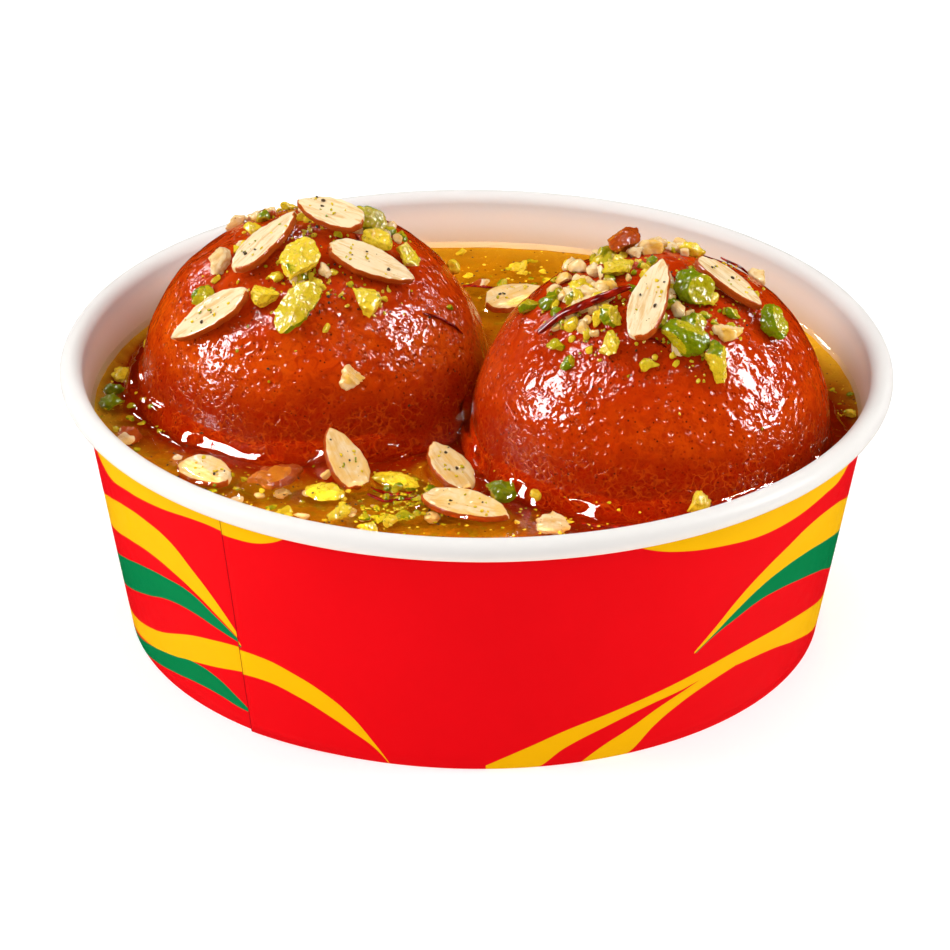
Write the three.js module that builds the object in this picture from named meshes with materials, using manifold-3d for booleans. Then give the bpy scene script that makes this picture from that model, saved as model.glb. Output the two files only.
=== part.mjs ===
// Two gulab jamun in sugar syrup, in a shallow paper tub, topped with sliced almonds and pistachios.
// Millimetres, +Z up. The origin is the centre of the ring that the tub stands on, and the front faces -Y.
import * as THREE from "three";
import { mergeVertices } from "three/addons/utils/BufferGeometryUtils.js";
import Module from "manifold-3d";

const wasm = await Module();
wasm.setup();

// Driving dimensions
const RIM_RADIUS = 58; // outside of the rolled rim
const TUB_HEIGHT = 39;
const FOOT_RADIUS = 48.5; // outside of the wall where it meets the table
const PAPER = 0.6; // thickness of the board
const CURL_RADIUS = 1.6; // outside of the rolled rim's section
const FLOOR_HEIGHT = 5.5; // top of the tub's floor
const SYRUP_LEVEL = 32;
const JAMUN_RADIUS = 24.9;
const JAMUN_HALF_HEIGHT = 24.1;
const ALMOND_THICKNESS = 1.3;
const SLICE_FULLNESS = 0.68; // how far out the curves of a slice's edge pull, for each millimetre of width
const SLICE_POINT = 0.35; // how sharp its pointed end is: 1 is blunt
const SLICE_BUTT = 0.95; // its round end's fullness, as a share of the pointed end's
const HALF_TAPER = 0.3; // how much narrower a half almond is at its pointed end
const HALF_ABOVE = 0.42; // heights of a half almond above and below its middle, for each millimetre of width
const HALF_BELOW = 0.16;
const NIB_BELOW = 0.4; // the same, for a nib of pistachio
const NIB_BUMP = 0.12;
const GAP = 0.3; // clearance between pieces that touch

// Worked out from them
const CURL_CENTRE = new THREE.Vector2(RIM_RADIUS - CURL_RADIUS, TUB_HEIGHT - CURL_RADIUS);
const WALL_SLOPE = (CURL_CENTRE.x - CURL_RADIUS + PAPER - FOOT_RADIUS) / CURL_CENTRE.y;
const HEM_HEIGHT = FLOOR_HEIGHT - PAPER - GAP;
const HEM_WIDTH = 3 * PAPER;
const FLOOR_CLEARANCE = FLOOR_HEIGHT + GAP;

// How finely round shapes are divided
const TUB_SIDES = 56;
const CURL_STEPS = 9;
const JAMUN_SIDES = 32;
const JAMUN_RINGS = 18;
const ALMOND_CURVE_STEPS = 7;
const HALF_SIDES = 12;
const HALF_RINGS = 7;

// The board overlaps itself in one upright seam, at this bearing, and the outer layer tapers off past it.
const SEAM_BEARING = -128;
const SEAM_TAPER = 22;
const SEAM_STEPS = 8;

// Low, broad lumps keep the balls from being perfect spheres.
const LUMP = 0.3;

// Bearings are in degrees, anticlockwise from +X seen from above, so the front is at -90. Tilts are from
// straight up.
const JAMUN = {
  left: { centre: new THREE.Vector3(-22.7, 7.5, 31.6), phase: 0.4 },
  right: { centre: new THREE.Vector3(24.5, -9.5, 33.2), phase: 2.9 },
};

const SLICE = "almond_slice"; // cut lengthwise, flat on both sides
const HALF = "almond_half"; // half an almond, with its skin on
const NIB = "pistachio"; // a rough piece of pistachio

// Toppings on a ball: the bearing and tilt where each lies, how its long axis turns from straight downhill,
// its length and width, how it rolls about its long axis, and how far the crumbs under it lift it.
const TOPPINGS = {
  left: [
    { kind: SLICE, at: [-136, 21], turn: -175, size: [12.6, 5.8], roll: -10 },
    { kind: SLICE, at: [-48, 7], turn: -162, size: [10.4, 5.2], roll: -16, lift: 0.9 },
    { kind: SLICE, at: [-49, 29], turn: 41, size: [12.6, 5.2], roll: 4 },
    { kind: SLICE, at: [-134, 51], turn: -40, size: [13, 5], roll: 8 },
    { kind: NIB, at: [-100, 26], turn: 163, size: [7.2, 4.6] },
    { kind: NIB, at: [-97, 43], turn: 145, size: [9, 4] },
    { kind: NIB, at: [-65, 42], turn: 20, size: [4.5, 4.1] },
    { kind: NIB, at: [-4, 16], turn: 10, size: [5.2, 3.8] },
    { kind: NIB, at: [-28, 22], turn: 20, size: [4.2, 3.2] },
    { kind: NIB, at: [-24, 33], turn: -14, size: [4.4, 3.2] },
    { kind: NIB, at: [-113, 40], turn: 60, size: [4, 3.4] },
  ],
  right: [
    { kind: SLICE, at: [-96, 25], turn: 171, size: [14, 5.2], roll: -8, lift: 0.9 },
    { kind: SLICE, at: [-20, 24], turn: -13, size: [11.2, 5.2], roll: -4 },
    { kind: HALF, at: [133, 16], turn: -74, size: [8, 5] },
    { kind: NIB, at: [-148, 13], turn: 174, size: [5.4, 3.2] },
    { kind: NIB, at: [-58, 21], turn: 50, size: [5.6, 4.8] },
    { kind: NIB, at: [-78, 38], turn: 62, size: [6, 4.4] },
    { kind: NIB, at: [-25, 42], turn: -23, size: [4.8, 3.8] },
    { kind: NIB, at: [-66, 47], turn: 8, size: [5.2, 4] },
    { kind: NIB, at: [-113, 42], turn: 18, size: [4.3, 3.4] },
    { kind: NIB, at: [-119, 31], turn: 120, size: [4.3, 3.6] },
  ],
};

// Toppings afloat: where each lies in X and Y, how its long axis turns from +X, its length and width, how it
// rolls about its long axis, its pitch (which lifts its far end when below zero), and how far its middle is
// above the syrup.
const AFLOAT = [
  { kind: SLICE, at: [-36.8, -23.5], turn: -48, size: [9.4, 6], roll: 8 },
  { kind: SLICE, at: [-17.9, -23.8], turn: 122, size: [10.4, 5.4], pitch: -35, lift: 2.3 },
  { kind: SLICE, at: [-3.6, -24.3], turn: 123, size: [9.4, 5.4], pitch: -22, lift: 1.6 },
  { kind: SLICE, at: [-1.2, -33.6], turn: -28, size: [13, 5.4], roll: 12, lift: 0.3 },
  { kind: SLICE, at: [5.6, 34.2], turn: 42, size: [10.2, 6.2], roll: 6 },
  { kind: HALF, at: [-27.6, -26.2], turn: 38, size: [9, 4.2] },
  { kind: NIB, at: [-11, -25.2], turn: -14, size: [6.4, 3.6] },
  { kind: NIB, at: [3.4, -28.4], turn: 20, size: [4.4, 3.8] },
  { kind: NIB, at: [-20.8, -29.4], turn: -4, size: [5, 3.8] },
];

const radians = THREE.MathUtils.degToRad;

// Booleans. Only positions are kept, so that vertices shared by neighbouring faces become one.
function solidOf(geometry) {
  const bare = geometry.index ? geometry.toNonIndexed() : geometry.clone();
  bare.deleteAttribute("normal");
  bare.deleteAttribute("uv");
  const merged = mergeVertices(bare, 1e-3);
  return new wasm.Manifold(
    new wasm.Mesh({
      numProp: 3,
      vertProperties: merged.attributes.position.array,
      triVerts: new Uint32Array(merged.index.array),
    }),
  );
}

function geometryOf(solid) {
  const { vertProperties, triVerts } = solid.getMesh();
  const geometry = new THREE.BufferGeometry()
    .setAttribute("position", new THREE.BufferAttribute(new Float32Array(vertProperties), 3))
    .setIndex(new THREE.BufferAttribute(new Uint32Array(triVerts), 1));
  geometry.computeVertexNormals();
  return geometry;
}

// Calls change(point) on every vertex, which may move it.
function reshape(geometry, change) {
  const positions = geometry.attributes.position;
  const point = new THREE.Vector3();
  for (let i = 0; i < positions.count; i++) {
    point.fromBufferAttribute(positions, i);
    change(point);
    positions.setXYZ(i, point.x, point.y, point.z);
  }
  return geometry;
}

const wallOuter = (z) => FOOT_RADIUS + WALL_SLOPE * z;
const wallInner = (z) => wallOuter(z) - PAPER;

// Points on a circular arc in the radius-height plane, from one angle to another in degrees.
function arc(centre, radius, from, to, steps) {
  return Array.from({ length: steps + 1 }, (_, i) => {
    const angle = radians(from + ((to - from) * i) / steps);
    return new THREE.Vector2(centre.x + radius * Math.cos(angle), centre.y + radius * Math.sin(angle));
  });
}

// A closed profile of [radius, height] points turned about Z.
function turned(profile, closed = true) {
  const points = closed ? [...profile, profile[0].clone()] : profile;
  return new THREE.LatheGeometry(points, TUB_SIDES).rotateX(Math.PI / 2);
}

// The wall runs up from its hem, and its top edge rolls outwards and back under itself.
function wallProfile() {
  const rollEnd = -90;
  return [
    new THREE.Vector2(wallOuter(0), 0),
    ...arc(CURL_CENTRE, CURL_RADIUS - PAPER, 180, rollEnd, CURL_STEPS),
    ...arc(CURL_CENTRE, CURL_RADIUS, rollEnd, 180, CURL_STEPS),
    new THREE.Vector2(wallInner(HEM_HEIGHT), HEM_HEIGHT),
    new THREE.Vector2(wallOuter(HEM_HEIGHT) - HEM_WIDTH, HEM_HEIGHT),
    new THREE.Vector2(wallOuter(0) - HEM_WIDTH, 0),
  ];
}

// The outer layer of the seam: a step at the seam's bearing that thins out to nothing. It follows the wall.
function seamLayer() {
  const reference = wallOuter(0);
  const polar = (radius, bearing) =>
    new THREE.Vector2(radius * Math.cos(radians(bearing)), radius * Math.sin(radians(bearing)));
  const outside = [];
  const inside = [];
  for (let i = 0; i <= SEAM_STEPS; i++) {
    const bearing = SEAM_BEARING + (SEAM_TAPER * i) / SEAM_STEPS;
    outside.push(polar(reference + PAPER * (1 - i / SEAM_STEPS), bearing));
    inside.unshift(polar(reference - PAPER / 2, bearing));
  }
  const height = CURL_CENTRE.y - CURL_RADIUS - GAP;
  const layer = new THREE.ExtrudeGeometry(new THREE.Shape([...outside, ...inside]), {
    depth: height,
    bevelEnabled: false,
  });
  return reshape(layer, (p) => {
    const wider = wallOuter(p.z) / reference;
    p.x *= wider;
    p.y *= wider;
  });
}

function tubWall() {
  return geometryOf(solidOf(turned(wallProfile())).add(solidOf(seamLayer())));
}

// The floor is a disc of board that rests on the hem.
function tubFloor() {
  const under = FLOOR_HEIGHT - PAPER;
  return turned(
    [
      new THREE.Vector2(0, under),
      new THREE.Vector2(wallInner(under) - GAP, under),
      new THREE.Vector2(wallInner(FLOOR_HEIGHT) - GAP, FLOOR_HEIGHT),
      new THREE.Vector2(0, FLOOR_HEIGHT),
    ],
    false,
  );
}

// How far the surface of a ball lies from its centre, in a direction of length 1.
function jamunRadius(ball, direction) {
  const { x, y, z } = direction;
  const round = 1 / Math.hypot(x / JAMUN_RADIUS, y / JAMUN_RADIUS, z / JAMUN_HALF_HEIGHT);
  const broad = Math.sin(3.1 * x + 2 * ball.phase) * Math.cos(2.6 * y - ball.phase);
  const low = 0.6 * Math.sin(4.3 * z + 1.7 * x + ball.phase);
  return round + LUMP * (broad + low);
}

// A ball about its own centre, grown by margin on all sides.
function jamunShape(ball, margin = 0) {
  const sphere = new THREE.SphereGeometry(1, JAMUN_SIDES, JAMUN_RINGS).rotateX(Math.PI / 2);
  return reshape(sphere, (p) => p.setLength(jamunRadius(ball, p.clone().normalize()) + margin));
}

// A lengthwise slice of almond, flat on both sides: one end is round, and the other comes to a point.
function almondSlice([length, width], margin) {
  const half = length / 2 + margin;
  const side = width * SLICE_FULLNESS + margin;
  const outline = new THREE.Shape();
  outline.moveTo(half, 0);
  outline.bezierCurveTo(half * SLICE_POINT, side, -half, side * SLICE_BUTT, -half, 0);
  outline.bezierCurveTo(-half, -side * SLICE_BUTT, half * SLICE_POINT, -side, half, 0);
  const thickness = ALMOND_THICKNESS + 2 * margin;
  return new THREE.ExtrudeGeometry(outline, {
    depth: thickness,
    bevelEnabled: false,
    curveSegments: ALMOND_CURVE_STEPS,
  }).translate(0, 0, -thickness / 2);
}

// Half of an almond that was split along its length, with its domed skin side up.
function almondHalf([length, width], margin) {
  const dome = new THREE.SphereGeometry(1, HALF_SIDES, HALF_RINGS).rotateX(Math.PI / 2);
  return reshape(dome, (p) => {
    const narrower = 1 - HALF_TAPER * Math.max(p.x, 0);
    p.x *= length / 2 + margin;
    p.y *= (width / 2 + margin) * narrower;
    p.z *= width * (p.z > 0 ? HALF_ABOVE : HALF_BELOW) + margin;
  });
}

// A rough nib of pistachio. The bumps come from its own size, so that no two are alike.
function pistachioNib([length, width], margin) {
  const nib = new THREE.IcosahedronGeometry(1, 1);
  return reshape(nib, (p) => {
    const bump = 1 + NIB_BUMP * Math.sin(5 * p.x + length * 3) * Math.cos(4 * p.y + width * 5 + 3 * p.z);
    p.x *= (length / 2) * bump + margin;
    p.y *= (width / 2) * bump + margin;
    p.z *= width * NIB_BELOW * bump + margin;
  });
}

// How to make each kind, and how far its underside lies below its middle for a given width.
const SHAPES = {
  [SLICE]: { make: almondSlice, below: () => ALMOND_THICKNESS / 2 },
  [HALF]: { make: almondHalf, below: (width) => width * HALF_BELOW },
  [NIB]: { make: pistachioNib, below: (width) => width * NIB_BELOW },
};

// Colours of the parts in plain light
const MATERIALS = {
  board: new THREE.MeshStandardMaterial({ color: 0xf4f2f0, roughness: 0.45, metalness: 0 }),
  syrup: new THREE.MeshStandardMaterial({ color: 0xa9691c, roughness: 0.08, metalness: 0 }),
  jamun: new THREE.MeshStandardMaterial({ color: 0xa23a0c, roughness: 0.22, metalness: 0 }),
  [SLICE]: new THREE.MeshStandardMaterial({ color: 0xf1dfb4, roughness: 0.5, metalness: 0 }),
  [HALF]: new THREE.MeshStandardMaterial({ color: 0x9a4d1a, roughness: 0.5, metalness: 0 }),
  [NIB]: new THREE.MeshStandardMaterial({ color: 0x9fa52c, roughness: 0.5, metalness: 0 }),
};

function named(name, geometry, material) {
  const mesh = new THREE.Mesh(geometry, material);
  mesh.name = name;
  return mesh;
}

// Toppings of one kind are numbered in the order in which they are made.
const made = { [SLICE]: 0, [HALF]: 0, [NIB]: 0 };

function topping({ kind, size, turn, pitch = 0, roll = 0 }, margin = 0) {
  const mesh = new THREE.Mesh(SHAPES[kind].make(size, margin), MATERIALS[kind]);
  mesh.rotation.set(radians(roll), radians(pitch), radians(turn), "ZYX");
  return mesh;
}

function numbered(kind, mesh) {
  made[kind] += 1;
  mesh.name = `${kind}_${made[kind]}`;
  return mesh;
}

// A topping on a ball is in a group that stands at the ball's centre with its +Z through the resting place.
function placeOnJamun(spec, ball) {
  const [bearing, tilt] = spec.at.map(radians);
  const spot = new THREE.Group();
  spot.position.copy(ball.centre);
  spot.rotation.set(0, tilt, bearing, "ZYX");
  const outwards = new THREE.Vector3(0, 0, 1).applyEuler(spot.rotation);
  const width = spec.size[1];
  const tipped = Math.abs(Math.sin(radians(spec.roll ?? 0))) * (width / 2);
  const mesh = numbered(spec.kind, topping(spec));
  mesh.position.z =
    jamunRadius(ball, outwards) + SHAPES[spec.kind].below(width) + GAP + tipped + (spec.lift ?? 0);
  spot.add(mesh);
  return spot;
}

// A topping afloat, grown by margin on all sides.
function placeAfloat(spec, margin = 0) {
  const mesh = topping(spec, margin);
  mesh.position.set(...spec.at, SYRUP_LEVEL + (spec.lift ?? 0));
  return mesh;
}

// The syrup fills the tub to its level, with room left for the balls and for what floats in it.
function syrupShape() {
  let syrup = solidOf(
    turned(
      [
        new THREE.Vector2(0, FLOOR_CLEARANCE),
        new THREE.Vector2(wallInner(FLOOR_CLEARANCE) - GAP, FLOOR_CLEARANCE),
        new THREE.Vector2(wallInner(SYRUP_LEVEL) - GAP, SYRUP_LEVEL),
        new THREE.Vector2(0, SYRUP_LEVEL),
      ],
      false,
    ),
  );
  for (const ball of Object.values(JAMUN)) {
    syrup = syrup.subtract(solidOf(jamunShape(ball, GAP).translate(...ball.centre)));
  }
  for (const spec of AFLOAT) {
    const room = placeAfloat(spec, GAP);
    room.updateMatrix();
    syrup = syrup.subtract(solidOf(room.geometry.applyMatrix4(room.matrix)));
  }
  return geometryOf(syrup);
}

const dish = new THREE.Group();
dish.add(named("tub_wall", tubWall(), MATERIALS.board));
dish.add(named("tub_floor", tubFloor(), MATERIALS.board));
dish.add(named("syrup", syrupShape(), MATERIALS.syrup));
for (const [side, ball] of Object.entries(JAMUN)) {
  const jamun = named(`jamun_${side}`, jamunShape(ball), MATERIALS.jamun);
  jamun.position.copy(ball.centre);
  dish.add(jamun);
  for (const spec of TOPPINGS[side]) dish.add(placeOnJamun(spec, ball));
}
for (const spec of AFLOAT) dish.add(numbered(spec.kind, placeAfloat(spec)));

export default dish;
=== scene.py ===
"""Gulab jamun in a printed paper tub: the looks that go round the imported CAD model, in millimetres."""

import itertools
import math

import bmesh
import bpy
import numpy as np
from mathutils import Matrix, Vector


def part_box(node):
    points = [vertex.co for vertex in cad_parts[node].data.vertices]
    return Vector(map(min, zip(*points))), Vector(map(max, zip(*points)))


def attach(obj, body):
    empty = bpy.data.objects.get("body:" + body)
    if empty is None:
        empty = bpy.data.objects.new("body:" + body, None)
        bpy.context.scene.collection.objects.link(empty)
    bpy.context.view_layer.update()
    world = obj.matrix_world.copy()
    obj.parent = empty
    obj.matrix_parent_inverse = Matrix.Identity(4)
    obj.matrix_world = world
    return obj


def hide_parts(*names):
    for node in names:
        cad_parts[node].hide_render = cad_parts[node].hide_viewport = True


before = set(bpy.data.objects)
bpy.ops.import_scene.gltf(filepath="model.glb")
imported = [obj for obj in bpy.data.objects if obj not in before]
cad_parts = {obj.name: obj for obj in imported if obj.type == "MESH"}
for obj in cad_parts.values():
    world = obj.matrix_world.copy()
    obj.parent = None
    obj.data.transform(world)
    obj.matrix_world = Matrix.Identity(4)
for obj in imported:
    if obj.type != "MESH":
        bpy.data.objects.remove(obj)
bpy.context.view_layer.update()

MM = 0.001
UP = np.array([0.0, 0.0, 1.0])

# The tub, as in the CAD model
RIM_RADIUS = 58.0
TUB_HEIGHT = 39.0
FOOT_RADIUS = 48.5
PAPER = 0.6
CURL_RADIUS = 1.6
FLOOR_TOP = 5.5
HEM_HEIGHT = 4.6
HEM_WIDTH = 3 * PAPER
SEAM_ANGLE = -38.0
SEAM_TAPER = 22.0
CURL_CENTRE = np.array([RIM_RADIUS - CURL_RADIUS, TUB_HEIGHT - CURL_RADIUS])
WALL_SLOPE = (CURL_CENTRE[0] - CURL_RADIUS + PAPER - FOOT_RADIUS) / CURL_CENTRE[1]

# The balls, as in the CAD model: a flattened sphere with a few broad lumps
JAMUN_RADIUS = 24.9
JAMUN_HALF_HEIGHT = 24.1
LUMP = 0.3
PHASE = {"left": 0.4, "right": 2.9}
SEED = {"left": 11, "right": 47}
DEEPER = {"left": 0.0, "right": 0.6}  # how much redder and darker each ball was fried
WRINKLE = 0.38  # depths of the relief that its material gives the glaze
CRINKLE = 0.10
CRATER = 0.19

# Syrup: its level, how high it climbs each thing that it wets, and how far out that reaches
SYRUP_LEVEL = 31.4
COLLAR = {"left": 1.8, "right": 2.0}  # how high the thick edge of syrup is round each ball
COLLAR_REACH = 1.9  # how far out its edge drops, and over what distance
COLLAR_DROP = 0.28
CLIMB_BALL = 0.6
CLIMB_BALL_REACH = 0.35
CLIMB_WALL = 0.6
CLIMB_WALL_REACH = 1.2
CLIMB_NUT = 1.1
CLIMB_NUT_REACH = 0.65
BALL_SHADE_REACH = {"left": 4.2, "right": 6.0}  # how far the painted shade in the syrup reaches from each ball
CLOUDY_CLIMB = 3.0  # how much higher the cloudy part stands at the wall, and how far out that reaches, as does the painted reflection of the board
CLOUDY_REACH = 5.0
CLEAR_DEPTH = 3.6  # how far down it can be seen through
WETTED_TO = 35.5  # the board is stained from the syrup up to here, and its rim's greyer colour, which is painted shade, starts higher up
RIM_FROM = 37.8


def wall_outer(z):
    return FOOT_RADIUS + WALL_SLOPE * z


def wall_inner(z):
    return wall_outer(z) - PAPER


def centre_of(node):
    low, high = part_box(node)
    return np.array((low + high) / 2) / MM


CENTRE = {side: centre_of(f"jamun_{side}") for side in PHASE}


# ---------------------------------------------------------------- noise

def scrambled(cell, seed):
    """A whole number from 0 to 65535 for each row of whole numbers, the same on every run."""
    c = cell.astype(np.int64)
    mixed = (c[:, 0] * 73856093) ^ (c[:, 1] * 19349663) ^ (c[:, 2] * 83492791) ^ (seed * 2654435 + 97)
    mixed = (mixed ^ (mixed >> 13)) * 1274126177 & 0xFFFFFFFF
    mixed = (mixed ^ (mixed >> 16)) * 2246822519 & 0xFFFFFFFF
    return (mixed ^ (mixed >> 15)) & 0xFFFFFFFF


def scattered(cell, seed):
    """Three numbers from 0 to 1 for each cell."""
    return np.stack([scrambled(cell, seed + k) & 0xFFFF for k in (1, 2, 3)], -1) / 65535.0


def noise(points, size, seed=0):
    """Smooth noise from about -1 to 1, with bumps about size across."""
    p = np.asarray(points, float) / size
    cell = np.floor(p).astype(np.int64)
    inside = p - cell
    ease = inside**3 * (inside * (inside * 6 - 15) + 10)
    total = np.zeros(len(p))
    for corner in itertools.product((0, 1), repeat=3):
        corner = np.array(corner)
        slope = scattered(cell + corner, seed) * 2 - 1
        weight = np.where(corner == 1, ease, 1 - ease).prod(1)
        total += weight * (slope * (inside - corner)).sum(1)
    return total * 1.9


def nearest(points, size, seed=0):
    """Distance, in cells, to the nearest of points scattered one to a cell."""
    p = np.asarray(points, float) / size
    cell = np.floor(p).astype(np.int64)
    found = np.full(len(p), 9.0)
    for step in itertools.product((-1, 0, 1), repeat=3):
        other = cell + np.array(step)
        found = np.minimum(found, np.linalg.norm(other + scattered(other, seed) - p, axis=1))
    return found


def smooth(low, high, x):
    """0 below low, 1 above high, and an S between them."""
    t = np.clip((np.asarray(x, float) - low) / (high - low), 0, 1)
    return t * t * (3 - 2 * t)


def unit(v):
    v = np.asarray(v, float)
    return v / np.maximum(np.linalg.norm(v, axis=-1, keepdims=True), 1e-9)


# ---------------------------------------------------------------- meshes

def volume_of(mesh):
    """The volume inside a mesh, which is below zero where its faces look inwards."""
    mesh.calc_loop_triangles()
    corners = np.zeros(len(mesh.loop_triangles) * 3, np.int32)
    mesh.loop_triangles.foreach_get("vertices", corners)
    where = np.zeros(len(mesh.vertices) * 3)
    mesh.vertices.foreach_get("co", where)
    a, b, c = where.reshape(-1, 3)[corners.reshape(-1, 3)].transpose(1, 0, 2)
    return float((a * np.cross(b, c)).sum()) / 6


def piece(name, points, faces, materials, stands_for=(), marks=None, face_material=None):
    """A smooth-shaded mesh that rides on the object. marks are values at each point, for the shaders."""
    mesh = bpy.data.meshes.new(name)
    mesh.from_pydata((np.asarray(points) * MM).tolist(), [], faces)
    for mark, values in (marks or {}).items():
        values = np.asarray(values, np.float32)
        vector = values.ndim == 2
        layer = mesh.attributes.new(mark, "FLOAT_VECTOR" if vector else "FLOAT", "POINT")
        layer.data.foreach_set("vector" if vector else "value", values.ravel())
    for material in materials:
        mesh.materials.append(material)
    if face_material is not None:
        mesh.polygons.foreach_set("material_index", np.asarray(face_material, np.int32))
    mesh.shade_smooth()
    mesh.update()
    if volume_of(mesh) < 0:
        mesh.flip_normals()
    made = bpy.data.objects.new(name, mesh)
    made.visible_glossy = name != "tub"  # pale board all round would veil the glaze and the syrup
    bpy.context.scene.collection.objects.link(made)
    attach(made, "root")
    if stands_for:
        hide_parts(*stands_for)
    return made


def grid_faces(rows, columns):
    """Quads between rings of points, one ring after another."""
    r = np.arange(rows - 1)[:, None] * columns
    c = np.arange(columns)[None, :]
    n = (c + 1) % columns
    return np.stack([r + c, r + n, r + columns + n, r + columns + c], -1).reshape(-1, 4).tolist()


def closed_faces(rows, columns, flip=True):
    """Faces of a closed body: rings of points, and then the two points that fill its first and last rings."""
    first, last = rows * columns, rows * columns + 1
    end = first - columns
    faces = grid_faces(rows, columns)
    for c in range(columns):
        n = (c + 1) % columns
        faces += [(first, n, c), (last, end + c, end + n)]
    return [face[::-1] for face in faces] if flip else faces


def icosphere(detail):
    """Points on a ball of radius 1, and its triangles."""
    shape = bmesh.new()
    bmesh.ops.create_icosphere(shape, subdivisions=detail, radius=1)
    points = np.array([v.co[:] for v in shape.verts])
    faces = np.array([[v.index for v in f.verts] for f in shape.faces])
    shape.free()
    return points, faces


ICOSPHERE = {detail: icosphere(detail) for detail in (2, 3, 4, 5)}


def rotation_to(direction):
    """A matrix whose third axis is direction."""
    return np.array(Vector(direction).to_track_quat("Z", "X").to_matrix())


# ---------------------------------------------------------------- shader graphs

class Graph:
    """A short way to write a material's nodes. An input is a number, a colour or another node's output."""

    def __init__(self, name):
        self.material = bpy.data.materials.new(name)
        self.material.use_nodes = True
        self.tree = self.material.node_tree
        self.surface = self.tree.nodes["Principled BSDF"]
        self.output = self.tree.nodes["Material Output"]
        self.place = self.vector("SCALE", self.node("TexCoord").outputs["Object"], 1 / MM)

    def node(self, kind, inputs=None, **settings):
        made = self.tree.nodes.new("ShaderNode" + kind)
        for key, value in settings.items():
            setattr(made, key, value)
        for key, value in (inputs or {}).items():
            self.set(made.inputs[key], value)
        return made

    def set(self, socket, value):
        if isinstance(value, bpy.types.NodeSocket):
            self.tree.links.new(value, socket)
        elif isinstance(value, tuple) and socket.type == "RGBA":
            socket.default_value = (*value, 1.0)
        else:
            socket.default_value = value

    def principled(self, **values):
        for key, value in values.items():
            self.set(self.surface.inputs[key.replace("_", " ").title().replace("Ior", "IOR")], value)

    def wet(self, colour, roughness, coat, coat_roughness, coat_ior):
        """A colour under a clear wet coat. Only the coat shines."""
        self.principled(base_color=colour, roughness=roughness, specular_ior_level=0.0)
        self.principled(coat_weight=coat, coat_roughness=coat_roughness, coat_ior=coat_ior)

    def soft(self, weight, radius):
        """How much light soaks in, and how far each colour of it gets."""
        self.principled(subsurface_weight=weight, subsurface_scale=1.5 * MM, subsurface_radius=radius)

    def mark(self, name, output="Fac"):
        return self.node("Attribute", attribute_name=name).outputs[output]

    def axis(self, index):
        return self.node("SeparateXYZ", {0: self.place}).outputs[index]

    def vector(self, operation, a, b):
        key = "Scale" if operation == "SCALE" else 1
        return self.node("VectorMath", {0: a, key: b}, operation=operation).outputs[0]

    def math(self, operation, a, b=0.0, clamp=False):
        return self.node("Math", {0: a, 1: b}, operation=operation, use_clamp=clamp).outputs[0]

    def times(self, product, *others):
        for other in others:
            product = self.math("MULTIPLY", product, other)
        return product

    def noise(self, size, detail=3.0, roughness=0.55, at=None, warp=0.0, offset=None):
        """Noise from 0 to 1 with bumps about size millimetres across."""
        where = self.place if at is None else at
        if offset is not None:
            where = self.vector("ADD", where, offset)
        inputs = {"Vector": where, "Scale": 1 / size, "Detail": detail, "Roughness": roughness}
        inputs["Distortion"] = warp
        return self.node("TexNoise", inputs).outputs[0]

    def warped(self, size, amount):
        """Places pushed about by up to amount millimetres, for crooked patterns."""
        push = self.node("TexNoise", {"Vector": self.place, "Scale": 1 / size, "Detail": 2.0})
        push = self.vector("SUBTRACT", push.outputs["Color"], (0.5, 0.5, 0.5))
        return self.vector("ADD", self.place, self.vector("SCALE", push, 4 * amount))

    def cells(self, size, feature="F1", at=None):
        """How far each place is from the nearest of scattered points, or from the edge of its cell."""
        inputs = {"Vector": self.place if at is None else at, "Scale": 1 / size}
        return self.node("TexVoronoi", inputs, feature=feature).outputs["Distance"]

    def step(self, value, low, high, to_low=0.0, to_high=1.0):
        """A smooth step from to_low to to_high as value goes from low to high."""
        inputs = {"Value": value, "From Min": low, "From Max": high, "To Min": to_low, "To Max": to_high}
        return self.node("MapRange", inputs, interpolation_type="SMOOTHSTEP").outputs[0]

    def dots(self, spacing, inner, outer, strength=1.0):
        """Round dots, one to a cell, that fade out between two radii in cells."""
        return self.step(self.cells(spacing), inner, outer, strength, 0.0)

    def ragged(self, value, size, amount):
        """A value whose edges noise makes ragged."""
        wander = self.math("SUBTRACT", self.noise(size, 4.0), 0.5)
        return self.math("ADD", value, self.times(wander, amount))

    def mix(self, amount, a, b):
        made = self.node("Mix", data_type="RGBA", clamp_factor=True)
        for index, value in ((0, amount), (6, a), (7, b)):
            self.set(made.inputs[index], value)
        return made.outputs[2]

    def layers(self, colour, *layers):
        """A colour with other colours laid over it, each with its own strength."""
        for amount, tint in layers:
            colour = self.mix(amount, colour, tint)
        return colour

    def bump(self, height, depth, under=None, strength=1.0):
        """Relief whose full height is depth millimetres, over the relief in under."""
        inputs = {"Height": height, "Distance": depth * MM, "Strength": strength}
        if under is not None:
            inputs["Normal"] = under
        return self.node("Bump", inputs).outputs[0]


# ---------------------------------------------------------------- the tub's print

RED = (0.76, 0.002, 0.006)
YELLOW = (0.86, 0.45, 0.001)
GREEN = (0.001, 0.20, 0.058)

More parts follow.
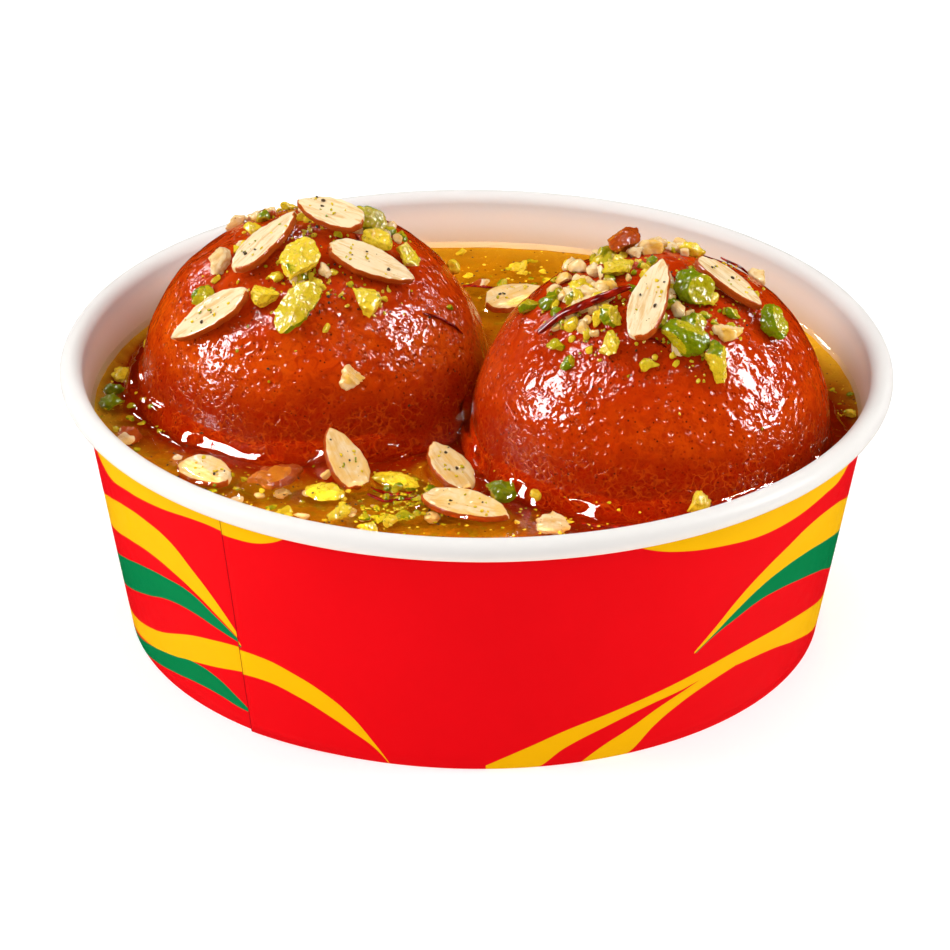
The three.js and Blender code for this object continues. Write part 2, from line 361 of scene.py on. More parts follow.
# Each swoosh on the print's left side (-1) and right side (1): rows of degrees from the front, its lower edge
# and its upper edge. Where a row has no upper edge, it is past the rim. The print's back mirrors its front.
ABOVE_RIM = 40
SWOOSHES = {
    -1: [
        (YELLOW, [(26, 35.8), (31, 33.3), (36, 32.7), (42, 32.9), (52, 31.6), (61, 30.4), (70, 29.5),
            (78, 33)]),
        (YELLOW, [(37.5, 14.6, 14.8), (42, 17.6, 20), (46.5, 19.9, 23.8), (51, 21.3, 26.6), (57, 22, 27.5),
            (64, 21.2, 26.8), (72, 19.2, 24.6), (81, 16.9, 21.6), (90, 16.1, 20.5)]),
        (GREEN, [(37.5, 14.4, 14.6), (43, 15.5, 17.6), (48, 16.2, 19.5), (54, 15.8, 19.5),
            (61, 13.7, 18.4), (70, 10.8, 15.8), (81, 7.6, 12.3), (90, 6.6, 11)]),
        (YELLOW, [(13.5, 0, 0.2), (16, 2.6, 3.5), (19.5, 4.8, 7.5), (23, 6.7, 10.1), (28, 8.8, 12.4),
            (34, 10, 13.8), (46, 8.2, 12.7), (62, 4.4, 7.7), (81, 1.2, 3.7), (90, 0.8, 3.1)]),
        (GREEN, [(38, 3, 3.2), (41, 3.2, 5), (44.5, 3.7, 6.6), (50, 3.7, 7.2), (56, 2.9, 5.9),
            (64, 1.4, 4), (73, -0.3, 1.8), (82, -2, 0.6)]),
    ],
    1: [
        (YELLOW, [(21.5, 35.8), (26, 33.8), (31, 32.5), (38, 31.4), (45, 30.6), (52, 30.5), (61, 30.9),
            (67, 31), (75, 35)]),
        (YELLOW, [(35.5, 14.4, 14.7), (39, 16.6, 17.8), (43, 19.2, 21.3), (47, 21.2, 23.8),
            (52, 22.3, 25.8), (58.5, 22.4, 27.3), (67, 20.9, 26.6), (81, 16.9, 22.2), (90, 16, 21)]),
        (GREEN, [(35.8, 14.3, 14.5), (39, 16.3, 16.7), (43, 17.8, 19.3), (47.5, 19, 21.4),
            (52, 19.1, 22.4), (58.5, 18.2, 22.5), (67, 16, 21), (81, 10.9, 17), (90, 9.7, 15.5)]),
        (YELLOW, [(2, -1, 0.7), (9, -0.5, 3.7), (15, 3.1, 6), (21, 5.5, 7.6), (28, 7.6, 9.2),
            (34, 8.7, 10.4), (38, 9.4, 11.1), (46, 9.3, 12), (54, 8.6, 11.9), (62, 6.7, 11),
            (79, 2.4, 7.3), (90, 1.4, 6)]),
        (YELLOW, [(17.5, -1.5, 0.1), (21, -1, 2.3), (25.6, 0.2, 4.5), (30, 4, 6.7), (34, 6.3, 8.2),
            (39, 8.1, 9.7), (45, 9.3, 10.3)]),
    ],
}
SWOOSH_LOW = -5.0  # the height that a curve's 0 stands for, and how much higher its 1 is
SWOOSH_SPAN = 50.0
SWOOSH_EDGE = 0.07  # half the width over which an edge blurs


def swoosh_edge(g, along, rows, column):
    """The height of one edge of a swoosh, as a curve along it."""
    curve = g.node("FloatCurve", {"Value": along})
    first, last = rows[0][0], rows[-1][0]
    places = []
    for row in rows:
        height = row[column] if column < len(row) else ABOVE_RIM
        places.append(((row[0] - first) / (last - first), (height - SWOOSH_LOW) / SWOOSH_SPAN))
    points = curve.mapping.curves[0].points
    points[0].location = places[0]
    points[-1].location = places[-1]
    for place in places[1:-1]:
        points.new(*place)
    curve.mapping.update()
    return g.math("ADD", g.times(curve.outputs[0], SWOOSH_SPAN), SWOOSH_LOW)


def swoosh(g, folded, z, rows):
    """1 inside a swoosh and 0 outside it."""
    first, last = rows[0][0], rows[-1][0]
    along = g.node("MapRange", {"Value": folded, "From Min": first, "From Max": last}).outputs[0]
    over = g.math("SUBTRACT", z, swoosh_edge(g, along, rows, 1))
    under = g.math("SUBTRACT", swoosh_edge(g, along, rows, 2), z)
    sharp = [g.step(gap, -SWOOSH_EDGE, SWOOSH_EDGE) for gap in (over, under)]
    begun = g.math("GREATER_THAN", folded, first)
    ended = g.math("LESS_THAN", folded, last + 0.01)
    return g.times(*sharp, begun, ended)


def printed_board():
    """Coated board, printed red with yellow and green swooshes."""
    g = Graph("printed_board")
    z = g.axis(2)
    around = g.math("DEGREES", g.math("ARCTAN2", g.axis(0), g.times(g.axis(1), -1.0)))
    from_side = g.math("ABSOLUTE", g.math("SUBTRACT", g.math("ABSOLUTE", around), 90.0))
    folded = g.math("SUBTRACT", 90.0, from_side)
    colour = g.mix(g.noise(9.0), RED, (0.71, 0.002, 0.005))
    for side, swooshes in SWOOSHES.items():
        on_side = g.math("GREATER_THAN", g.times(around, float(side)), 0.0)
        for tint, rows in swooshes:
            shade = g.mix(g.noise(6.0), tint, tuple(0.93 * c for c in tint))
            colour = g.mix(g.times(swoosh(g, folded, z, rows), on_side), colour, shade)
    # A thin dark line along the seam: painted shadow in the step where the lapped board ends.
    from_seam = g.math("ABSOLUTE", g.math("SUBTRACT", around, SEAM_ANGLE - 0.1))
    colour = g.mix(g.step(from_seam, 0.1, 0.35, 0.75, 0.0), colour, (0.16, 0.001, 0.003))
    g.principled(base_color=colour, roughness=g.step(g.noise(2.5), 0.2, 0.8, 0.30, 0.42))
    g.principled(specular_ior_level=0.015)
    g.principled(normal=g.bump(g.noise(14.0, 2.0), 0.10, g.bump(g.noise(0.35, 4.0, 0.7), 0.012)))
    return g.material


def plain_board():
    """The white board of the rim and the inside, wetted by syrup low down, with faint fibres. The inside's
    warm tint is partly painted light from the red balls, and the rim is painted greyer and darker as shade
    against the stronger light on its top.
    """
    g = Graph("plain_board")
    z = g.axis(2)
    # Warm tint: partly the board's own off-white, partly painted light thrown on it by the red balls.
    inner = (0.84, 0.75, 0.66)
    # Greyer and darker than the inside: painted shade, dimming the stronger light on the rim's top.
    rim = (0.72, 0.69, 0.66)
    colour = g.mix(g.step(z, SYRUP_LEVEL, WETTED_TO), (0.74, 0.56, 0.38), inner)
    colour = g.mix(g.step(z, WETTED_TO, RIM_FROM), colour, rim)
    colour = g.mix(g.step(g.noise(1.2, 5.0, 0.75), 0.62, 0.8, 0.0, 0.3), colour, (0.74, 0.66, 0.58))
    g.principled(base_color=colour, roughness=g.step(g.noise(3.0), 0.2, 0.8, 0.28, 0.4))
    g.principled(specular_ior_level=0.04)
    g.principled(normal=g.bump(g.noise(0.4, 4.0, 0.7), 0.015))
    return g.material


# ---------------------------------------------------------------- food materials

def jamun_material():
    """Fried dough soaked in syrup: red-brown and wrinkled on top, with a net of pale ridges low down. Painted
    shade darkens it low down, in the net's hollows and in its dimples.
    """
    g = Graph("jamun")
    low = g.mark("low")
    mottle = g.noise(1.7, 4.0, 0.6, warp=0.8)
    crooked = g.warped(1.3, 0.45)
    ridge = g.step(g.cells(1.35, "DISTANCE_TO_EDGE", crooked), 0.02, 0.12, 1.0, 0.0)
    small = g.step(g.cells(0.75, "DISTANCE_TO_EDGE", crooked), 0.03, 0.16, 0.25, 0.0)
    patchy = g.step(g.noise(2.6, 2.0, offset=(5.0, 3.0, 8.0)), 0.40, 0.58)
    net = g.times(g.math("ADD", g.times(ridge, patchy), small, clamp=True), low)
    hollow = g.times(g.step(g.cells(0.75, at=crooked), 0.25, 0.50, 1.0, 0.0), low, patchy)
    porous = g.step(g.noise(1.8, 2.0, offset=(2.0, 6.0, 11.0)), 0.42, 0.56, 0.0, 0.6)
    specked = g.step(g.noise(2.2, 1.0, offset=(31.0, 7.0, 3.0)), 0.44, 0.50)
    broad = g.step(g.noise(9.0, 2.0, 0.5, warp=0.6), 0.3, 0.7)
    colour = g.layers(
        g.mix(broad, (0.56, 0.048, 0.0014), (0.70, 0.090, 0.0026)),
        (g.mark("deep"), (0.50, 0.032, 0.0010)),
        (g.step(g.mark("high"), 0.0, 1.0, 0.0, 0.6), (0.44, 0.022, 0.0010)),
        (g.step(mottle, 0.42, 0.66, 0.0, 0.65), (0.36, 0.018, 0.0012)),
        # Painted shade: darker and redder low down, most of all at the front, where less light falls and the
        # dark syrup is reflected.
        (g.step(low, 0.0, 1.0, 0.0, 0.9), (0.32, 0.010, 0.0007)),
        (g.times(net, 0.5), (0.66, 0.085, 0.004)),
        # Painted shade: darker in the sunken hollows of the net.
        (g.times(hollow, 0.5), (0.20, 0.006, 0.001)),
        # Painted shade: darker in the sunken dimples.
        (g.times(g.mark("pit"), 0.6), (0.20, 0.008, 0.001)),
        (g.times(g.dots(0.8, 0.14, 0.28), porous), (0.17, 0.007, 0.001)),
        (g.times(g.dots(1.05, 0.10, 0.18, 0.85), specked), (0.06, 0.008, 0.002)),
    )
    g.wet(colour, 0.4, 1.0, 0.01, 1.28)
    g.soft(0.12, (1.0, 0.22, 0.06))
    rough_patches = g.step(g.noise(6.0, 2.0), 0.38, 0.62, 0.5, 1.4)
    calm = g.times(g.step(low, 0.0, 1.0, 1.0, 0.2), rough_patches)
    craters = g.times(g.step(g.noise(2.6, 1.0), 0.36, 0.48), g.dots(1.2, 0.16, 0.36))
    crinkles = g.noise(0.9, 1.0, 0.5, warp=0.9, offset=(9.0, 4.0, 2.0))
    relief = g.bump(g.noise(2.1, 1.0, 0.5, warp=0.8), WRINKLE, strength=calm)
    relief = g.bump(crinkles, CRINKLE, relief, strength=calm)
    relief = g.bump(craters, -CRATER, relief, strength=calm)
    relief = g.bump(g.math("SUBTRACT", net, hollow), 0.04, relief)
    g.principled(normal=relief, coat_normal=relief)
    return g.material


def syrup_clear_material():
    """The clear top of the syrup. It lets the lamps through to what is sunk in it."""
    g = Graph("syrup_clear")
    g.principled(base_color=(1.0, 0.97, 0.90), roughness=0.02, ior=1.38, transmission_weight=1.0)
    g.principled(normal=g.bump(g.noise(1.6, 2.0), 0.02))
    shadow = g.node("LightPath").outputs["Is Shadow Ray"]
    through = g.node("BsdfTransparent", {"Color": (0.97, 0.86, 0.60)}).outputs[0]
    both = g.node("MixShader", {0: shadow, 1: g.surface.outputs[0], 2: through})
    g.set(g.output.inputs["Surface"], both.outputs[0])
    depth = g.node("VolumeAbsorption", {"Color": (0.985, 0.84, 0.10), "Density": 110.0})
    g.set(g.output.inputs["Volume"], depth.outputs[0])
    return g.material


def syrup_cloudy_material():
    """The depths of the syrup: amber and cloudy in the open, with painted shade dark red close to the balls
    and darker towards the back, and a painted reflection of the board paler near it.
    """
    g = Graph("syrup_cloudy")
    cloud = g.step(g.noise(7.0, 4.0, 0.6, warp=1.0), 0.3, 0.7)
    swirl = g.step(g.noise(2.4, 4.0, 0.65, warp=1.5), 0.45, 0.75, 0.0, 0.55)
    green = g.step(g.noise(3.2, 3.0, 0.6, warp=0.8, offset=(4.0, 9.0, 1.0)), 0.50, 0.68, 0.0, 0.6)
    colour = g.layers(
        g.mix(cloud, (0.32, 0.105, 0.003), (0.48, 0.215, 0.006)),
        (swirl, (0.46, 0.10, 0.004)),
        (green, (0.24, 0.20, 0.006)),
        # Painted reflection of the pale board: paler near it.
        (g.step(g.mark("edge"), 0.1, 1.0, 0.0, 0.8), (0.70, 0.40, 0.03)),
        # Painted shade: darker towards the back of the tub, behind the balls.
        (g.step(g.axis(1), 22.0, 40.0, 0.0, 0.75), (0.30, 0.115, 0.002)),
        # Painted shade: dark red round the foot of each ball.
        (g.step(g.mark("near"), 0.03, 0.6), (0.24, 0.014, 0.001)),
        (g.step(g.noise(0.6, 3.0, 0.7), 0.62, 0.75, 0.0, 0.5), (0.85, 0.48, 0.05)),
        (g.dots(1.6, 0.08, 0.14, 0.8), (0.10, 0.02, 0.004)),
    )
    g.principled(base_color=colour, roughness=0.6, specular_ior_level=0.0)
    g.principled(normal=g.bump(g.noise(1.3, 4.0, 0.6), 0.5))
    return g.material


def almond_material():
    """Cut almond: cream with fine lines along its length, and brown papery skin round its edge."""
    g = Graph("almond")
    skin = g.mark("skin")
    stretched = g.vector("MULTIPLY", g.mark("local", "Vector"), (0.22, 1.6, 1.6))
    grain = g.noise(1.0, 4.0, 0.65, at=stretched, warp=0.5)
    blotches = g.step(g.noise(2.4, 3.0, warp=0.6), 0.35, 0.65, 0.35, 1.15)
    soaked = g.math("MULTIPLY", g.mark("tone"), blotches, clamp=True)
    specked = g.step(g.noise(1.8, 1.0), 0.50, 0.57)
    brown = g.mix(g.noise(0.7, 4.0, 0.7, at=stretched), (0.20, 0.014, 0.002), (0.56, 0.10, 0.010))
    colour = g.layers(
        g.mix(g.noise(3.0, 2.0), (0.78, 0.58, 0.32), (0.87, 0.73, 0.50)),
        (g.step(grain, 0.46, 0.66, 0.0, 0.75), (0.64, 0.36, 0.12)),
        (g.step(skin, 0.0, 0.7, 0.0, 0.8), (0.70, 0.36, 0.07)),
        (soaked, (0.80, 0.44, 0.07)),
        (g.times(g.dots(0.95, 0.08, 0.13, 0.75), specked), (0.20, 0.10, 0.02)),
        (g.step(g.ragged(skin, 0.7, 1.1), 0.45, 0.62), brown),
    )
    g.wet(colour, 0.4, 0.8, 0.03, 1.25)
    g.soft(0.15, (1.0, 0.7, 0.4))
    g.principled(normal=g.bump(grain, 0.14, g.bump(g.noise(0.5, 3.0), 0.05)))
    g.principled(coat_normal=g.bump(g.noise(1.0, 1.0), 0.12))
    return g.material


def toasted_material():
    """Toasted almond with its skin on: orange-brown where it is cut, and redder and darker outside."""
    g = Graph("toasted_almond")
    stretched = g.vector("MULTIPLY", g.mark("local", "Vector"), (0.3, 1.5, 1.5))
    streaks = g.noise(0.9, 4.0, 0.65, at=stretched, warp=0.4)
    cut = g.mix(g.noise(1.4, 3.0), (0.52, 0.085, 0.005), (0.78, 0.26, 0.016))
    skin = g.mix(streaks, (0.26, 0.012, 0.002), (0.62, 0.11, 0.008))
    colour = g.mix(g.step(g.ragged(g.mark("skin"), 0.9, 0.9), 0.3, 0.6), cut, skin)
    g.wet(colour, 0.4, 1.0, 0.03, 1.28)
    g.principled(normal=g.bump(streaks, 0.5, g.bump(g.noise(0.7, 3.0), 0.35)))
    g.principled(coat_normal=g.bump(g.noise(0.9, 1.0), 0.3))
    return g.material


def pistachio_material():
    """Chopped pistachio: bright yellow and crumbly where it is cut, and green outside."""
    g = Graph("pistachio")
    cut = g.layers(
        g.mix(g.noise(1.5, 3.0), (0.80, 0.47, 0.004), (0.90, 0.69, 0.05)),
        (g.step(g.mark("tone"), 0.0, 1.0, 0.0, 0.9), (0.38, 0.33, 0.002)),
    )
    outside = g.mix(g.noise(1.1, 3.0, 0.6, warp=0.6), (0.05, 0.10, 0.001), (0.30, 0.33, 0.003))
    crumb = g.noise(0.5, 4.0, 0.7)
    specked = g.step(g.noise(1.5, 1.0), 0.50, 0.58)
    colour = g.layers(
        cut,
        (g.step(g.ragged(g.mark("green"), 0.8, 0.9), 0.35, 0.65), outside),
        # Painted shade: darker in the sunken crumbly recesses.
        (g.step(crumb, 0.30, 0.46, 0.6, 0.0), (0.30, 0.22, 0.008)),
        (g.times(g.dots(0.9, 0.09, 0.15, 0.85), specked), (0.03, 0.025, 0.008)),
    )
    g.wet(colour, 0.4, 1.0, 0.02, 1.3)
    g.soft(0.12, (1.0, 0.9, 0.2))
    g.principled(normal=g.bump(crumb, 0.26, g.bump(g.noise(1.2, 3.0), 0.4)))
    g.principled(coat_normal=g.bump(g.noise(0.8, 1.0), 0.22))
    return g.material


def saffron_material():
    """Threads of saffron, dark red and orange along their length."""
    g = Graph("saffron")
    colour = g.mix(g.step(g.noise(1.2, 3.0), 0.35, 0.7), (0.10, 0.002, 0.001), (0.36, 0.012, 0.002))
    g.wet(colour, 0.3, 1.0, 0.03, 1.28)
    g.principled(normal=g.bump(g.noise(0.3, 3.0), 0.05))
    return g.material


def speck_material():
    """Ground cardamom and pepper-dark flecks."""
    g = Graph("speck")
    colour = g.mix(g.noise(0.3, 2.0), (0.015, 0.008, 0.003), (0.10, 0.05, 0.01))
    g.principled(base_color=colour, roughness=0.45, specular_ior_level=0.1)
    return g.material


PRINTED = printed_board()
PLAIN = plain_board()
JAMUN = jamun_material()
SYRUP_CLEAR = syrup_clear_material()
SYRUP_CLOUDY = syrup_cloudy_material()
ALMOND = almond_material()
TOASTED = toasted_material()
PISTACHIO = pistachio_material()
SAFFRON = saffron_material()
SPECK = speck_material()


# ---------------------------------------------------------------- tub

def arc(centre, radius, start, end, steps):
    """Points along part of a circle, from one angle to another in degrees."""
    angles = np.radians(np.linspace(start, end, steps + 1))
    return np.stack([centre[0] + radius * np.cos(angles), centre[1] + radius * np.sin(angles)], -1)


def tub():
    """The wall: one turned profile of board with a lapped seam, a rolled rim and a hem round its foot."""
    fold = 0.25
    up = np.linspace(fold, CURL_CENTRE[1] - 0.9, 22)
    outer = np.stack([wall_outer(up), up], -1)
    curl_end = np.array([CURL_CENTRE[0] - 0.12, CURL_CENTRE[1] - CURL_RADIUS + PAPER / 2])
    down = np.linspace(CURL_CENTRE[1] - 0.6, HEM_HEIGHT + 0.1, 16)
    inner = np.stack([wall_inner(down), down], -1)
    hem = [
        (wall_inner(HEM_HEIGHT) - 0.1, HEM_HEIGHT),
        (wall_outer(HEM_HEIGHT) - HEM_WIDTH + 0.15, HEM_HEIGHT),
        (wall_outer(HEM_HEIGHT) - HEM_WIDTH, HEM_HEIGHT - 0.15),
        (wall_outer(fold) - HEM_WIDTH, fold),
        (wall_outer(0) - HEM_WIDTH + fold, 0.0),
        (wall_outer(0) - fold, 0.0),
        (wall_outer(0) - 0.07, 0.07),
    ]
    profile = np.vstack([
        outer,
        arc(CURL_CENTRE, CURL_RADIUS - PAPER, 180, -84, 22),
        curl_end[None],
        arc(CURL_CENTRE, CURL_RADIUS, -90, 180, 34),
        inner,
        hem,
    ])
    around = np.linspace(-180, 180, 300, endpoint=False) + 0.3
    around = np.sort(np.append(around, [SEAM_ANGLE - 0.22, SEAM_ANGLE - 0.02]))
    u = np.radians(around)[None, :]
    r = profile[:, 0][:, None]
    z = profile[:, 1][:, None] + 0 * u
    past = around - SEAM_ANGLE
    layer = np.where((past > -0.1) & (past < SEAM_TAPER), PAPER * (1 - past / SEAM_TAPER), 0)
    on_wall = (np.arange(len(profile)) < len(outer))[:, None]
    out_of_round = (0.10 * np.sin(2 * u + 0.7) + 0.06 * np.sin(5 * u + 1.9)) * smooth(4, 30, z)
    r = r + on_wall * layer[None, :] + out_of_round
    points = np.stack([r * np.sin(u), -r * np.cos(u), z], -1).reshape(-1, 3)
    rows, cols = len(profile), len(around)
    faces = grid_faces(rows, cols)
    last = (rows - 1) * cols
    faces += [(last + c, last + (c + 1) % cols, (c + 1) % cols, c) for c in range(cols)]
    plain = np.ones(len(faces), int)
    plain[: (len(outer) - 1) * cols] = 0
    plain[-2 * cols:] = 0
    piece("tub", points, faces, [PRINTED, PLAIN], ["tub_wall"], face_material=plain)
    floor_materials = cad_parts["tub_floor"].data.materials
    floor_materials.clear()
    floor_materials.append(PLAIN)


# ---------------------------------------------------------------- balls

def jamun_radius(direction, phase):
    """How far the ball's surface is from its centre, with the same broad lumps as the CAD ball."""
    x, y, z = direction.T
    plain = 1 / np.sqrt((x / JAMUN_RADIUS) ** 2 + (y / JAMUN_RADIUS) ** 2 + (z / JAMUN_HALF_HEIGHT) ** 2)
    broad = np.sin(3.1 * x + 2 * phase) * np.cos(2.6 * y - phase)
    low = 0.6 * np.sin(4.3 * z + 1.7 * x + phase)
    return plain + LUMP * (broad + low)


def bearing_direction(bearing, tilt):
    """Bearings are anticlockwise from +X, so that the front is at -90. Tilts are from straight up."""
    b, t = np.radians(bearing), np.radians(tilt)
    return np.array([math.sin(t) * math.cos(b), math.sin(t) * math.sin(b), math.cos(t)])


def on_ball(side, bearing, tilt, above=0.0):
    """A place on a ball's surface and the way out of it."""
    out = bearing_direction(bearing, tilt)
    return CENTRE[side] + out * (jamun_radius(out[None], PHASE[side])[0] + above), out


def jamun(side):
    """One ball. Its upper part, which shows, is divided finely, and marked where it's low, high or pitted."""
    columns = 400
    fine = np.linspace(0.5, 97, 150)
    coarse = np.linspace(100, 178, 18)
    tilt = np.radians(np.concatenate([fine, coarse]))[:, None]
    turn = np.radians(np.arange(columns) * 360 / columns)[None, :]
    out = [np.sin(tilt) * np.cos(turn), np.sin(tilt) * np.sin(turn), np.cos(tilt) + 0 * turn]
    out = np.vstack([np.stack(out, -1).reshape(-1, 3), UP, -UP])
    seed = SEED[side]
    r = jamun_radius(out, PHASE[side])
    p = CENTRE[side] + out * r[:, None]
    above = p[:, 2] - SYRUP_LEVEL + 1.6 * noise(p, 6.0, seed)
    # low: the band just above the syrup, stronger at the front. The material puts its net there and darkens
    # it with painted shade.
    front = smooth(-0.2, 0.6, -out[:, 1])
    low = (1 - smooth(4.5, 11.5, above)) * (0.55 + 0.45 * front)
    high = smooth(9, 20, above)
    # dimple: small round dents, which the material also darkens as painted shade.
    dimple = np.clip(1 - (nearest(p, 2.1, seed + 9) / 0.20) ** 2, 0, 1) * (1 - low)
    dimple *= noise(p, 4.0, seed + 10) > -0.05
    relief = 0.20 * noise(p, 7.0, seed + 11)
    relief += (1 - 0.7 * low) * (0.07 * noise(p, 2.5, seed + 12) + 0.012 * noise(p, 1.3, seed + 13))
    relief += 0.07 * low * noise(p, 1.3, seed + 14) - 0.09 * dimple
    p = CENTRE[side] + out * (r + relief)[:, None]
    faces = closed_faces(len(tilt), columns)
    marks = {"low": low, "high": high, "pit": dimple, "deep": np.full(len(p), DEEPER[side])}
    piece(f"ball_{side}", p, faces, [JAMUN], [f"jamun_{side}"], marks=marks)


# ---------------------------------------------------------------- syrup

def node_points(node):
    """The corners of a CAD node."""
    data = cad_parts[node].data
    found = np.zeros(len(data.vertices) * 3)
    data.vertices.foreach_get("co", found)
    return found.reshape(-1, 3) / MM


def pose_of(node):
    """Where a CAD topping lies: its middle, its axes from longest to shortest, and its size along them."""
    points = np.unique(np.round(node_points(node), 3), axis=0)
    middle = points.mean(0)
    _, _, axes = np.linalg.svd(points - middle, full_matrices=False)
    if axes[2][2] < 0:
        axes[2] = -axes[2]
    along = (points - middle) @ axes.T
    middle = middle + ((along.max(0) + along.min(0)) / 2) @ axes
    along = (points - middle) @ axes.T
    tip, butt = along[:, 0] > along[:, 0].max() * 0.6, along[:, 0] < along[:, 0].min() * 0.6
    if np.abs(along[tip, 1]).max() > np.abs(along[butt, 1]).max():
        axes[0] = -axes[0]
    axes[1] = np.cross(axes[2], axes[0])
    along = (points - middle) @ axes.T
    return middle, axes, along.max(0) - along.min(0)


TOPPINGS = {n: pose_of(n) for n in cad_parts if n.startswith(("almond_", "pistachio_"))}


def afloat(node):
    """Whether a topping lies in the syrup and not on a ball."""
    middle = TOPPINGS[node][0]
    return middle[2] < SYRUP_LEVEL + 6 and all(
        np.linalg.norm((middle - CENTRE[s])[:2]) > JAMUN_RADIUS - 3 for s in CENTRE
    )


def from_balls(p):
    """How far outside each ball the points of the syrup's surface are, one array for each ball."""
    gaps = []
    for side, centre in CENTRE.items():
        flat = np.column_stack([p[:, :2] - centre[:2], np.full(len(p), SYRUP_LEVEL - centre[2])])
        edge = jamun_radius(unit(flat), PHASE[side])
        reach = np.sqrt(np.maximum(edge**2 - flat[:, 2] ** 2, 0))
        gaps.append(np.linalg.norm(flat[:, :2], axis=1) - reach)
    return gaps


def from_wall(p):
    """How far inside the board each point of the syrup's surface is."""
    return np.maximum(wall_inner(SYRUP_LEVEL) - np.linalg.norm(p[:, :2], axis=1), 0)


def syrup_height(p):
    """The syrup's surface: level in the open, climbing balls, board and nuts, with slow ripples."""
    height = SYRUP_LEVEL + 0.10 * noise(p, 9.0, 61) + 0.05 * noise(p, 4.0, 62)
    wavy = 0.8 * noise(p, 7.0, 63) + 0.35 * noise(p, 3.0, 64)
    uneven = 1 + 0.35 * noise(p, 9.0, 65)
    for side, gap in zip(CENTRE, from_balls(p)):
        gap = np.maximum(gap, 0)
        drop = np.clip((gap - COLLAR_REACH - wavy) / COLLAR_DROP, -30, 30)
        height += COLLAR[side] * uneven / (1 + np.exp(drop)) + CLIMB_BALL * np.exp(-gap / CLIMB_BALL_REACH)
    climbs = [CLIMB_WALL * np.exp(-from_wall(p) / CLIMB_WALL_REACH)]
    for node, (middle, axes, size) in TOPPINGS.items():
        if afloat(node):
            local = (p - middle)[:, :2]
            along, across = (local @ axes[k][:2] / (size[k] / 2) for k in (0, 1))
            gap = np.maximum(np.hypot(along, across) - 0.85, 0) * size[1] / 2
            climbs.append(CLIMB_NUT * np.exp(-gap / CLIMB_NUT_REACH))
    return height + sum(climb**3 for climb in climbs) ** (1 / 3)


def disc_points(radii, columns):
    """Flat rings of points, one for each radius."""
    turn = np.radians(np.arange(columns) * 360 / columns)[None, :]
    r = np.asarray(radii)[:, None]
    return np.stack([r * np.cos(turn), r * np.sin(turn), 0 * r * turn], -1).reshape(-1, 3)


def filled(name, top_of, bottom, material, columns, rings, marks_of=None, stands_for=()):
    """A closed body that fills the tub from bottom up to the surface top_of, and ends inside the board."""
    radii = np.linspace(0.012, 1, rings) ** 0.85
    top = disc_points(radii, columns)
    edge = top * wall_inner(SYRUP_LEVEL)
    top *= (wall_inner(top_of(edge)) + PAPER / 2)[:, None]
    top[:, 2] = top_of(top)
    below = disc_points([wall_inner(bottom) + PAPER / 2], columns)
    below[:, 2] = bottom
    middles = [[0, 0, top[:columns, 2].mean()], [0, 0, bottom]]
    points = np.vstack([top, below, middles])
    marks = marks_of(points) if marks_of else {}
    piece(name, points, closed_faces(rings + 1, columns), [material], stands_for, marks=marks)


def cloudy_height(p):
    """The top of the cloudy part: bumpy, and higher by the board."""
    bumps = 0.7 * noise(p, 6.0, 71) + 0.35 * noise(p, 2.6, 72) + 0.15 * noise(p, 1.2, 73)
    silt = CLOUDY_CLIMB * np.exp(-from_wall(p) / CLOUDY_REACH)
    return SYRUP_LEVEL - CLEAR_DEPTH + silt + bumps * (1 - silt / CLEAR_DEPTH)


def cloudy_marks(p):
    """How near each point is to a ball, for the painted shade round the balls, and to the board, for the
    painted reflection of the board.
    """
    wavy = 1.6 * noise(p, 5.0, 81) + 0.8 * noise(p, 2.0, 82)
    near = [np.exp(-np.maximum(gap + wavy, 0) / BALL_SHADE_REACH[s]) for s, gap in zip(CENTRE, from_balls(p))]
    return {"near": np.maximum(*near), "edge": np.exp(-from_wall(p) / CLOUDY_REACH)}


def syrup():
    """The cloudy depths, and the clear top that overlaps them."""
    filled("syrup_cloudy", cloudy_height, FLOOR_TOP - 0.1, SYRUP_CLOUDY, 420, 80, cloudy_marks)
    low = SYRUP_LEVEL - CLEAR_DEPTH - 3.5
    filled("syrup_clear", syrup_height, low, SYRUP_CLEAR, 620, 130, stands_for=["syrup"])


# ---------------------------------------------------------------- almonds

SLICE_DUST = {"fine": 9, "speck": 3}  # how many small crumbs and flecks lie on each slice
SLICE_RINGS = (0.12, 0.3, 0.48, 0.64, 0.78, 0.88, 0.94, 0.975)  # across its faces, out to its edge at 1
SLICE_LEVELS = (0.32, 0.12, -0.12, -0.32)  # down its rim, in thicknesses


def bezier(a, b, c, d, t):
    s = 1 - t
    return a * s**3 + 3 * b * s * s * t + 3 * c * s * t * t + d * t**3


def slice_outline(length, width, count):
    """The edge of a slice: round at one end, and pointed at the other, at +X."""
    half, side = length / 2, width * 0.68
    corners = np.array([[half, 0], [half * 0.5, side * 1.02], [-half, side * 0.95], [-half, 0]])
    t = np.linspace(0, 1, count // 2, endpoint=False)[:, None]
    return np.vstack([bezier(*corners, t), bezier(*(corners * [1, -1])[::-1], t)])


